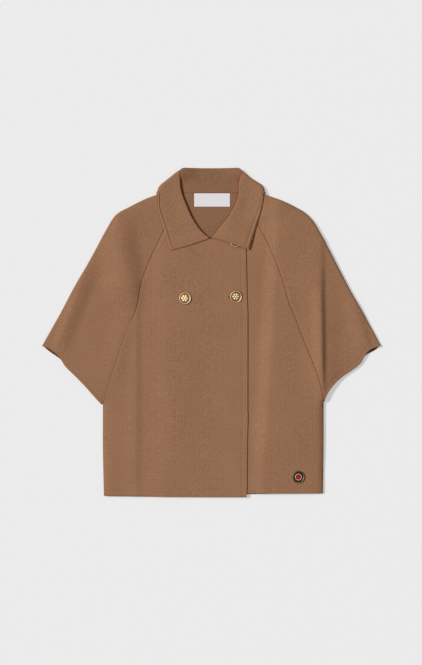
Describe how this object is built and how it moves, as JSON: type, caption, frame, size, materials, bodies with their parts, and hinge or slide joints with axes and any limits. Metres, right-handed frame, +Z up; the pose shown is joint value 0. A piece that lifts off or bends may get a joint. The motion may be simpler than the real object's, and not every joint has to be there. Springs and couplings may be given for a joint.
{
  "type": "knitted wool cape jacket",
  "caption": "Short cape-like knitted jacket laid flat on its back, with wide open raglan sleeves, a fold-down collar and a double-breasted front.",
  "frame": {"origin": "on the surface the garment lies on, under the middle of its outline", "axes": "+Z up from the surface, +Y towards the neck, +X to the wearer's left"},
  "size_m": [0.6772, 0.6578, 0.0186],
  "materials": {
    "wool_knit": "matt, fine double knit",
    "woven_label": "smooth woven",
    "gilt_brass": "polished, cast relief",
    "enamelled_metal": "glossy enamel in gilt rims"
  },
  "bodies": {
    "root": {"back": "wool_knit", "front_right": "wool_knit", "front_left": "wool_knit", "sleeve_right": "wool_knit", "sleeve_right_back": "wool_knit", "sleeve_left": "wool_knit", "sleeve_left_back": "wool_knit", "collar": "wool_knit", "neck_label": "woven_label", "button_chest": "gilt_brass", "button_edge": "gilt_brass", "button_neck": "gilt_brass", "badge": "enamelled_metal"}
  },
  "joints": []
}
